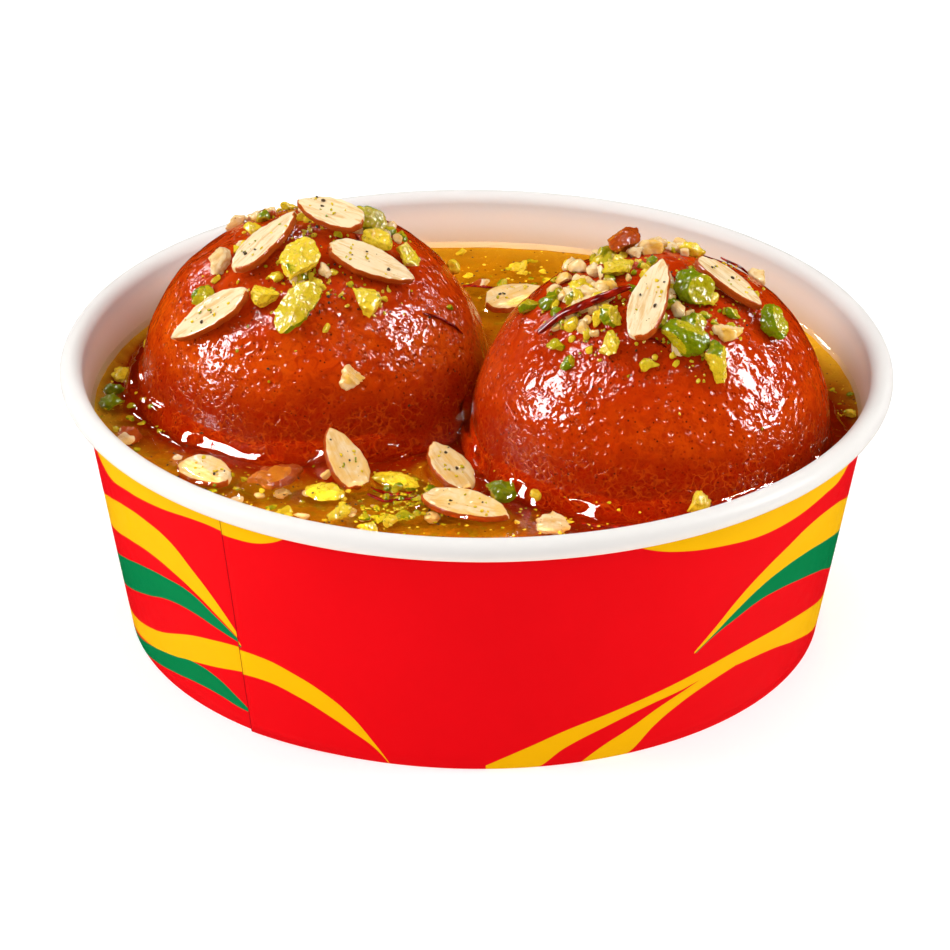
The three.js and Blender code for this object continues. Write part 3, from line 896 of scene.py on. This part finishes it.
def almond_slice(node, rng):
    """A slice cut along the nut: two flat faces, slightly cupped, and skin left along its edge."""
    middle, axes, size = TOPPINGS[node]
    length, width, thick = size
    count = 80
    edge = slice_outline(length, width, count)
    flat = np.column_stack([edge, np.zeros(count)])
    seed = int(rng.integers(900))
    edge = edge * (1 + 0.045 * noise(flat, 1.2, seed) + 0.05 * noise(flat, 3.5, seed + 1))[:, None]
    cup = rng.uniform(0.15, 0.35)
    twist = rng.uniform(-0.25, 0.25)

    def height(x, y):
        across = y / (width / 2)
        return cup * (across**2 - 0.3) + twist * across * (x / (length / 2))

    # Rings of points down from the top's middle to its rim and back under: scale, level and skin
    top = [(r, thick / 2 - 0.14 * smooth(0.86, 1.0, r), 0.9 * smooth(0.93, 1.0, r)) for r in SLICE_RINGS]
    rim = [(1 + 0.012 * (1 - (level / 0.4) ** 2), level * thick, 1.0) for level in SLICE_LEVELS]
    rings = top + rim + [(scale, -level, skin) for scale, level, skin in reversed(top)]
    rows = []
    for scale, level, _ in rings:
        x, y = (edge * scale).T
        rows.append(np.column_stack([x, y, height(x, y) + level]))
    rows.append([[0, 0, height(0, 0) + thick / 2], [0, 0, height(0, 0) - thick / 2]])
    local = np.vstack(rows)
    skin = np.append(np.repeat([float(skin) for *_, skin in rings], count), [0, 0])
    skin_side = 1 if axes[1][1] < 0 else -1
    skin = skin * smooth(-0.5, 0.2, skin_side * local[:, 1] / (width / 2) + 0.5 * noise(local, 2.0, 5))
    rough = 0.035 * noise(local, 0.9, int(rng.integers(900)))
    points = middle + (local + np.outer(rough, UP)) @ axes
    tone = 0.65 if afloat(node) else rng.uniform(0.0, 0.12)
    marks = {"local": local + rng.uniform(0, 50, 3), "skin": skin, "tone": np.full(len(points), tone)}
    faces = closed_faces(len(rings), count)
    piece(f"slice_{node.split('_')[-1]}", points, faces, [ALMOND], [node], marks=marks)
    for kind, many in SLICE_DUST.items():
        for _ in range(many):
            x, y = rng.uniform(-0.3, 0.3, 2) * (length, width)
            at = middle + np.array([x, y, height(x, y) + thick / 2]) @ axes
            crumb(rng, at, axes[2], rng.uniform(0.25, 0.65), kind)


def almond_half(node, rng):
    """A broken piece of an almond, toasted brown, with furrowed skin where it wasn't cut."""
    middle, axes, size = TOPPINGS[node]
    local, faces, kept = chunk(rng, size, 6, 5, 0.45)
    local[:, 1] *= 1 - 0.35 * smooth(0.0, 1.0, local[:, 0] / (size[0] / 2))
    local[:, 2] += 0.06 * np.sin(local[:, 1] * 6 + 2.0 * noise(local, 2.5, 3)) * kept
    marks = {"local": local, "skin": 0.15 + 0.6 * kept}
    points = middle + local @ axes
    piece(f"half_{node[-1]}", points, faces.tolist(), [TOASTED], [node], marks=marks)


# ---------------------------------------------------------------- pistachios and crumbs

def chunk(rng, size, cuts, detail, relief):
    """A rough piece: a ball cut flat by planes. Also its faces, and 1 at the points that no plane cut."""
    ball, faces = ICOSPHERE[detail]
    points = ball.copy()
    kept = np.ones(len(points))
    for _ in range(cuts):
        way = unit(rng.normal(size=3))
        depth = rng.uniform(0.35, 0.8)
        over = points @ way - depth
        kept = np.where(over > 0, 0, kept)
        points = points - np.outer(np.maximum(over, 0), way)
    points = points * np.asarray(size) / 2 * 1.12
    seed = int(rng.integers(900))
    grown = relief * (0.6 * noise(points, 1.3, seed) + 0.4 * noise(points, 0.55, seed + 1))
    points = points + ball * grown[:, None]
    return points, faces, kept


# How green each pistachio piece is outside, and how yellow-green where it is cut. The others are ordinary.
ORDINARY_NIB = (0.5, 0.35)
NIB_LOOKS = {
    1: (0.3, 0.1), 2: (0.6, 0.4), 3: (0.3, 0.2), 4: (1.0, 0.8), 5: (0.2, 0.1), 7: (0.1, 0.0), 9: (1.0, 0.9),
    10: (0.9, 0.8), 11: (1.0, 1.0), 13: (0.1, 0.1), 16: (0.9, 0.8), 17: (0.1, 0.0),
}


def pistachio(node, rng):
    """A chopped piece, a little sunk into what it lies on. The greenest keep more of their outside."""
    middle, axes, size = TOPPINGS[node]
    number = int(node.split("_")[1])
    greenness, tone = NIB_LOOKS.get(number, ORDINARY_NIB)
    local, faces, kept = chunk(rng, size, 3 if greenness > 0.8 else 7, 5, 0.42)
    sunk = 0.3 if afloat(node) else 0.25
    points = middle - sunk * axes[2] + local @ axes
    marks = {"green": kept * (0.3 + 0.7 * greenness), "tone": np.full(len(points), tone)}
    piece(f"nib_{number}", points, faces.tolist(), [PISTACHIO], [node], marks=marks)


class Heap:
    """Small pieces of one kind, joined into one mesh."""

    def __init__(self):
        self.points, self.faces, self.marks, self.count = [], [], {}, 0

    def add(self, points, faces, **marks):
        self.points.append(points)
        self.faces.append(np.asarray(faces) + self.count)
        self.count += len(points)
        for key, value in marks.items():
            value = np.full(len(points), value) if np.ndim(value) == 0 else value
            self.marks.setdefault(key, []).append(value)

    def finish(self, name, material):
        marks = {key: np.concatenate(values) for key, values in self.marks.items()}
        piece(name, np.vstack(self.points), np.vstack(self.faces).tolist(), [material], marks=marks)


FULL_TURN = 6.28
green_crumbs = Heap()
cream_crumbs = Heap()
specks = Heap()
threads = Heap()


def crumb(rng, at, out, size, kind, tone=None):
    """One crumb, resting at a place on a surface that faces out. Larger ones are made of more triangles."""
    detail = 4 if size > 3.0 else 3 if size > 1.3 else 2
    shape = size * rng.uniform([0.8, 0.6, 0.5], [1.2, 1.0, 0.8])
    local, faces, kept = chunk(rng, shape, int(rng.integers(3, 7)), detail, 0.16 * size)
    turn = rotation_to(out) @ np.array(Matrix.Rotation(rng.uniform(0, FULL_TURN), 3, "Z"))
    tip = np.array(Matrix.Rotation(rng.uniform(-0.5, 0.5), 3, "X"))
    points = at + out * shape[2] * 0.30 + local @ (turn @ tip).T
    if kind == "rubble":
        kind = rng.choice(["cream", "cream", "cream", "yellow", "green"])
    if kind == "cream":
        skin = kept * (rng.random() < 0.12)
        local = local + rng.uniform(0, 50, 3)
        cream_crumbs.add(points, faces, local=local, skin=skin, tone=tone or rng.uniform(0.4, 1.0))
    elif kind == "speck":
        specks.add(points, faces)
    else:
        kind = rng.choice(["green", "yellow", "yellow"]) if kind == "fine" else kind
        green = kept * (rng.uniform(0.5, 1.0) if kind == "green" else rng.uniform(0.0, 0.3))
        green_crumbs.add(points, faces, green=green, tone=0.7 if kind == "green" else rng.uniform(0, 0.4))


def nearby(rng, bearing, tilt, spread):
    """A bearing and tilt about spread millimetres away."""
    away, way = abs(rng.normal(0, spread)), rng.uniform(0, 2 * math.pi)
    t = tilt + math.degrees(away * math.cos(way) / JAMUN_RADIUS)
    sideways = away * math.sin(way) / (JAMUN_RADIUS * max(math.sin(math.radians(max(t, 6))), 0.1))
    return bearing + math.degrees(sideways), t


KIND_SIZES = {"fine": (0.25, 0.6), "rubble": (1.3, 2.8)}  # rubble is almond and pistachio, mixed
# Single crumbs, as in the photograph and a few behind: kind, ball, bearing, tilt, size
BALL_CRUMBS = [
    ("cream", "left", -157, 35, 3.8), ("green", "left", -146, 47, 3.2), ("cream", "left", -76, 65, 3.5),
    ("yellow", "left", 19, 54, 2.5), ("yellow", "left", -178, 21, 2.6), ("yellow", "left", -88, 33, 2.2),
    ("yellow", "left", -150, 40, 1.8), ("green", "left", -20, 54, 1.2), ("yellow", "left", -84, 48, 1.5),
    ("cream", "right", 107, 9, 3.5), ("green", "right", -69, 33, 3.3), ("cream", "right", -51, 38, 3.4),
    ("yellow", "right", -93, 46, 2.4), ("green", "right", -177, 44, 3.2),
    ("green", "right", -170, 34, 2.6), ("yellow", "right", -150, 30, 3.0),
    ("yellow", "right", -135, 26, 2.6), ("yellow", "right", -126, 33, 2.2),
    ("cream", "right", -142, 22, 2.6), ("yellow", "right", -160, 24, 2.2),
    ("green", "right", -40, 33, 2.2), ("cream", "left", 140, 38, 3.0), ("green", "left", 75, 50, 2.4),
    ("cream", "right", 35, 45, 3.0), ("yellow", "right", 80, 40, 2.2),
]
# Clusters of small crumbs: kind, ball, bearing, tilt, spread, how many
BALL_CLUSTERS = [
    ("yellow", "left", -95, 33, 4.0, 26), ("green", "left", -60, 18, 3.5, 22),
    ("yellow", "left", -60, 42, 3.0, 14), ("yellow", "left", -150, 20, 4.0, 12),
    ("green", "left", 0, 20, 4.0, 16), ("yellow", "left", -110, 10, 4.0, 14),
    ("yellow", "right", -140, 27, 4.0, 34), ("green", "right", -90, 15, 5.0, 26),
    ("yellow", "right", -70, 42, 4.0, 22), ("green", "right", -60, 30, 4.0, 18),
    ("yellow", "right", 150, 15, 4.0, 18), ("yellow", "right", -20, 25, 4.5, 12),
    ("speck", "left", -80, 35, 11.0, 40), ("speck", "right", -90, 30, 12.0, 46),
    ("speck", "left", 120, 30, 9.0, 10), ("yellow", "left", 110, 28, 5.0, 10),
    ("yellow", "right", 60, 30, 5.0, 10), ("rubble", "right", -142, 24, 4.2, 34),
    ("rubble", "right", -128, 36, 3.0, 12), ("rubble", "right", 170, 22, 3.0, 12),
    ("rubble", "right", -156, 31, 2.8, 18), ("rubble", "right", -146, 38, 2.2, 8),
    ("rubble", "left", 5, 14, 3.2, 16), ("rubble", "left", -95, 33, 3.4, 12),
    ("rubble", "right", -80, 22, 4.0, 12), ("rubble", "left", 130, 22, 3.5, 10),
    ("rubble", "right", 80, 18, 4.0, 12), ("fine", "left", -90, 30, 6.5, 90),
    ("fine", "left", -30, 22, 6.0, 70), ("fine", "left", -140, 22, 6.0, 40),
    ("fine", "right", -135, 28, 5.0, 100), ("fine", "right", -75, 32, 7.0, 100),
    ("fine", "right", 0, 22, 7.0, 40), ("fine", "left", 110, 25, 7.0, 30),
    ("fine", "right", 100, 22, 7.0, 30), ("rubble", "left", 12, 22, 2.8, 14),
    ("rubble", "left", -165, 26, 2.2, 5),
]
# Crumbs afloat: kind, X, Y, size
SYRUP_CRUMBS = [
    ("cream", 10.2, -36.6, 4.2), ("yellow", 29.8, -33.5, 4.4), ("cream", -48.2, -11.1, 3.8),
    ("yellow", 6.2, 46.7, 3.6), ("yellow", 52.1, -2.1, 2.2), ("green", -50.7, 3.9, 3.4),
    ("yellow", -18.3, -34.4, 3.6), ("yellow", -22.0, -26.6, 2.4), ("green", -7.0, -30.5, 2.8),
    ("green", -9.5, -34.0, 3.0), ("yellow", -11.5, -36.5, 2.6), ("cream", -32.4, -30.8, 2.2),
    ("green", -6.0, -27.0, 2.4), ("yellow", 8.0, -31.0, 2.0), ("cream", -41.0, -17.5, 2.0),
    ("yellow", -46.0, 14.0, 2.4), ("cream", 0.5, 41.0, 3.0), ("green", 38.0, 30.0, 2.6),
    ("yellow", 45.0, 18.0, 2.2), ("cream", -30.0, 40.0, 3.2), ("yellow", -42.0, 25.0, 2.4),
    ("yellow", -49.9, 9.6, 4.2), ("green", -51.0, -0.6, 3.6), ("yellow", -26.0, -34.0, 3.2),
    ("yellow", -14.0, -38.5, 3.4),
]
# Clusters in the syrup: kind, X, Y, spread, depth below the surface, how many
SYRUP_CLUSTERS = [
    ("green", -8.0, -31.0, 3.2, 0.3, 34), ("green", -12.0, -33.5, 4.0, 0.8, 30),
    ("yellow", -20.0, -31.0, 4.0, 0.9, 18), ("green", -34.0, -27.5, 4.0, 0.7, 12),
    ("yellow", 8.0, -36.0, 5.0, 0.6, 18), ("green", -47.0, -8.0, 4.0, 0.6, 18),
    ("speck", -15.0, -33.0, 9.0, 0.3, 60), ("speck", 12.0, -36.0, 7.0, 0.4, 24),
    ("speck", -40.0, -20.0, 6.0, 0.3, 24), ("green", 51.0, 2.0, 3.0, 0.4, 12),
    ("yellow", 5.0, 42.0, 6.0, 0.7, 20), ("green", 10.0, 40.0, 7.0, 0.6, 22),
    ("yellow", -35.0, 36.0, 5.0, 0.6, 12), ("cream", -10.0, -35.5, 6.0, 1.6, 12),
    ("cream", -28.0, -32.0, 6.0, 1.8, 10), ("fine", -8.0, -30.0, 5.0, 0.1, 130),
    ("fine", -30.0, -30.0, 7.0, 0.2, 70), ("fine", 14.0, -37.0, 6.0, 0.2, 60),
    ("fine", 5.0, 41.0, 7.0, 0.2, 60), ("fine", -48.0, -2.0, 6.0, 0.2, 50),
    ("fine", 51.0, 0.0, 5.0, 0.2, 40), ("speck", 5.0, 40.0, 7.0, 0.3, 24),
    ("speck", 50.0, 2.0, 5.0, 0.2, 14),
]


def in_open(x, y, margin=0.6):
    """Whether a place is in open syrup, clear of the balls and the board."""
    p = np.array([[x, y, 0.0]])
    return min(g[0] for g in from_balls(p)) > margin and math.hypot(x, y) < wall_inner(SYRUP_LEVEL) - margin


def crumb_size(rng, kind, fleck, least, more):
    """The size of a crumb in a cluster: flecks are the smallest, and most of the others are near least."""
    if kind == "speck":
        return rng.uniform(fleck, 0.5)
    size = least + more * rng.random() ** 2
    return rng.uniform(*KIND_SIZES[kind]) if kind in KIND_SIZES else size


def scatter_crumbs(rng):
    """The single crumbs and the clusters, on the balls and then in the syrup."""
    for kind, side, bearing, tilt, size in BALL_CRUMBS:
        crumb(rng, *on_ball(side, bearing, tilt), size, kind)
    for kind, side, bearing, tilt, spread, count in BALL_CLUSTERS:
        for _ in range(count):
            size = crumb_size(rng, kind, 0.25, 0.55, 1.1)
            crumb(rng, *on_ball(side, *nearby(rng, bearing, tilt, spread)), size, kind)
    for kind, x, y, size in SYRUP_CRUMBS:
        top = syrup_height(np.array([[x, y, 0.0]]))[0]
        crumb(rng, np.array([x, y, top - 0.35 * size]), UP, size, kind, tone=0.5)
    for kind, x, y, spread, sunk, count in SYRUP_CLUSTERS:
        for _ in range(count):
            px, py = x + rng.normal(0, spread), y + rng.normal(0, spread)
            if not in_open(px, py):
                continue
            size = crumb_size(rng, kind, 0.3, 0.6, 1.4) * (1.7 if kind == "cream" else 1.0)
            top = syrup_height(np.array([[px, py, 0.0]]))[0]
            depth = sunk * rng.uniform(0.4, 1.6)
            crumb(rng, np.array([px, py, top - depth - 0.2 * size]), UP, size, kind, tone=0.5)


def thread(path, radius):
    """A saffron thread along a path of points, flat and tapering to both ends."""
    path = np.asarray(path, float)
    steps, sides = 40, 8
    t = np.linspace(0, len(path) - 1, steps)
    spine = np.column_stack([np.interp(t, np.arange(len(path)), path[:, k]) for k in range(3)])
    spine = np.array([spine[max(0, i - 3): i + 4].mean(0) for i in range(steps)])
    spine += 0.18 * np.column_stack([noise(spine, 2.2, 91 + k) for k in range(3)])
    along = unit(np.gradient(spine, axis=0))
    side = unit(np.cross(along, UP))
    top = np.cross(side, along)
    s = np.linspace(0, 1, steps)
    width = radius * (0.25 + 0.75 * np.sin(np.pi * np.clip(s * 0.93 + 0.05, 0, 1)) ** 0.6)
    rows = []
    for k in range(sides):
        a = 2 * math.pi * k / sides + 0.8 * s
        rows.append(spine + (np.cos(a) * width)[:, None] * side + (np.sin(a) * width * 0.6)[:, None] * top)
    points = np.stack(rows, 1).reshape(-1, 3)
    faces = []
    for a, b, c, *d in closed_faces(steps, sides, flip=False):
        faces += [(a, b, c)] + [(a, c, corner) for corner in d]
    threads.add(np.vstack([points, spine[:1], spine[-1:]]), faces)


# Saffron threads on the balls: ball, then bearings and tilts along the thread, how proud it is and its radius
BALL_THREADS = [
    ("right", [(-150, 47), (-147, 40), (-140, 33), (-132, 28), (-122, 23), (-112, 19)], 1.5, 0.95),
    ("left", [(-38, 50), (-33, 53), (-28, 56), (-24, 60), (-21, 64)], 0.2, 0.35),
    ("left", [(-60, 12), (-50, 16), (-38, 18), (-30, 15)], 0.6, 0.28),
    ("right", [(-70, 10), (-58, 14), (-50, 19), (-40, 21)], 0.5, 0.3),
    ("right", [(-100, 36), (-92, 37), (-85, 40)], 0.3, 0.22),
    ("left", [(100, 30), (92, 36), (90, 43), (95, 50)], 0.3, 0.3),
    ("right", [(50, 35), (42, 41), (40, 48)], 0.3, 0.3),
]
SYRUP_THREAD_RADIUS = 0.45
# Saffron in the syrup: X and Y along the thread, and how deep it is
SYRUP_THREADS = [
    ([(-15, -29), (-12, -30.5), (-9, -30), (-7, -28.5)], 0.3),
    ([(-14.5, -27.5), (-11.5, -28.6), (-8.5, -27.8)], 0.4),
    ([(14, -36), (18, -37.5), (22, -36.5)], 0.5),
    ([(-5, 38), (-1, 40), (4, 38.5)], 0.3),
]


def saffron():
    """All the threads, on the balls and in the syrup."""
    for side, stops, proud, radius in BALL_THREADS:
        thread([on_ball(side, b, t, proud)[0] for b, t in stops], radius)
    for stops, depth in SYRUP_THREADS:
        path = np.array([(x, y, 0.0) for x, y in stops])
        path[:, 2] = syrup_height(path) - depth
        thread(path, SYRUP_THREAD_RADIUS)


# ---------------------------------------------------------------- light and camera

# The camera stands where the photograph's did.
CAMERA_DISTANCE = 900.0
CAMERA_ELEVATION = 26.4
CAMERA_AIM = np.array([-0.1, 0.0, 20.35])
CAMERA_LENS = 242.9
CAMERA_SENSOR = 36.0
CAMERA_ROLL = 0.5
FOOD_HEIGHT = 0.035  # how high up the lights aim, in metres
STUDIO_REACH = 4.0  # how far the floor goes each way, in metres
GLOW_CHANGE = (150.0, 600.0)  # how far from the object the floor's glow changes
ROOM = 0.5  # how bright the room is as light. It doesn't show in reflections
GLINT_NEARER = 0.95  # how near the lamp that makes the reflections is, next to its light's distance
# Softboxes: direction from the food, distance and size in metres, and brightness as light and in reflections
SOFTBOXES = {
    "light_left": ((-0.84, -0.18, 0.51), 0.45, (0.15, 0.30), 8.0, 60.0),
    "light_right": ((0.87, -0.10, 0.47), 0.45, (0.15, 0.30), 6.6, 60.0),
    "light_front": ((-0.30, -0.85, 0.45), 0.7, (0.5, 0.5), 1.1, 0.0),
    "light_back": ((-0.25, 0.75, 0.62), 0.6, (0.08, 0.08), 6.0, 34.0),
    "light_rear_left": ((-0.62, 0.70, 0.30), 0.6, (0.04, 0.14), 0.0, 22.0),
    "light_rear_right": ((0.70, 0.62, 0.30), 0.6, (0.04, 0.14), 0.0, 22.0),
    "light_spark_left": ((-0.45, -0.22, 0.86), 0.45, (0.05, 0.05), 0.0, 110.0),
    "light_spark_right": ((0.48, -0.16, 0.86), 0.45, (0.05, 0.05), 0.0, 110.0),
    "light_top": ((0.05, 0.15, 0.95), 0.7, (0.5, 0.5), 2.2, 0.0),
}


def camera():
    data = bpy.data.cameras.new("camera")
    data.lens = CAMERA_LENS
    data.sensor_width = CAMERA_SENSOR
    data.clip_end = 50.0
    made = bpy.data.objects.new("camera", data)
    e = math.radians(CAMERA_ELEVATION)
    spot = (CAMERA_AIM + CAMERA_DISTANCE * np.array([0, -math.cos(e), math.sin(e)])) * MM
    turn = Matrix.Rotation(math.pi / 2 - e, 4, "X") @ Matrix.Rotation(math.radians(CAMERA_ROLL), 4, "Z")
    made.matrix_world = Matrix.Translation(Vector(spot)) @ turn
    bpy.context.scene.collection.objects.link(made)
    bpy.context.scene.camera = made


def softbox(name, direction, distance, size, lighting, glint):
    """A soft light that faces the food: how bright it is as light, and how bright its reflections are. The
    reflections come from a second lamp just in front of the first, which nothing else sees."""
    way = Vector(direction).normalized()
    for part, radiance, nearer in (("", lighting, 1.0), ("_glint", glint, GLINT_NEARER)):
        if not radiance:
            continue
        data = bpy.data.lights.new(name + part, "AREA")
        data.shape = "RECTANGLE"
        data.size, data.size_y = size[0] * nearer, size[1] * nearer
        data.energy = radiance * math.pi * data.size * data.size_y
        made = bpy.data.objects.new(name + part, data)
        made.location = way * distance * nearer + Vector((0, 0, FOOD_HEIGHT))
        made.rotation_euler = way.to_track_quat("Z", "Y").to_euler()
        made.visible_glossy = part == "_glint"
        made.visible_diffuse = part == ""
        made.visible_transmission = part == ""
        bpy.context.scene.collection.objects.link(made)


def glowing(name, corners, faces, colour, near_glow, far_glow):
    """A plain surface of the studio, with a glow of its own that may change away from the object. It doesn't
    show in reflections."""
    g = Graph(name)
    away = g.node("VectorMath", {0: g.place}, operation="LENGTH").outputs["Value"]
    glow = g.step(away, *GLOW_CHANGE, near_glow, far_glow)
    g.principled(base_color=colour, roughness=0.8, specular_ior_level=0.1)
    g.principled(emission_color=(1.0, 1.0, 1.0), emission_strength=glow)
    mesh = bpy.data.meshes.new(name)
    mesh.from_pydata(corners, [], faces)
    mesh.materials.append(g.material)
    made = bpy.data.objects.new(name, mesh)
    made.visible_glossy = False
    bpy.context.scene.collection.objects.link(made)
    return made


def studio():
    """The softboxes, an even room, and a white floor and distance."""
    for name, settings in SOFTBOXES.items():
        softbox(name, *settings)
    world = bpy.data.worlds.new("world")
    world.use_nodes = True
    room = world.node_tree.nodes["Background"].inputs
    room["Color"].default_value = (1.0, 1.0, 1.0, 1.0)
    room["Strength"].default_value = ROOM
    world.cycles_visibility.glossy = False
    bpy.context.scene.world = world
    corners = [(x * STUDIO_REACH, y * STUDIO_REACH, 0) for x, y in ((-1, -1), (1, -1), (1, 1), (-1, 1))]
    glowing("floor", corners, [(0, 1, 2, 3)], (0.55, 0.55, 0.55), 0.58, 0.80)
    high = [(x, y, 2 * STUDIO_REACH) for x, y, _ in corners]
    walls = [(k, (k + 1) % 4, (k + 1) % 4 + 4, k + 4) for k in range(4)]
    distance = glowing("distance", corners + high, walls, (0.0, 0.0, 0.0), 1.0, 1.0)
    distance.visible_diffuse = False
    distance.visible_shadow = False
    bpy.context.scene.view_settings.view_transform = "Standard"


# ---------------------------------------------------------------- all of it

rng = np.random.default_rng(20)
tub()
for ball_side in CENTRE:
    jamun(ball_side)
syrup()
for topping in sorted(TOPPINGS):
    if topping.startswith("almond_slice"):
        almond_slice(topping, rng)
    elif topping.startswith("almond_half"):
        almond_half(topping, rng)
    else:
        pistachio(topping, rng)
scatter_crumbs(rng)
saffron()
green_crumbs.finish("crumbs_pistachio", PISTACHIO)
cream_crumbs.finish("crumbs_almond", ALMOND)
specks.finish("specks", SPECK)
threads.finish("saffron", SAFFRON)
studio()
camera()
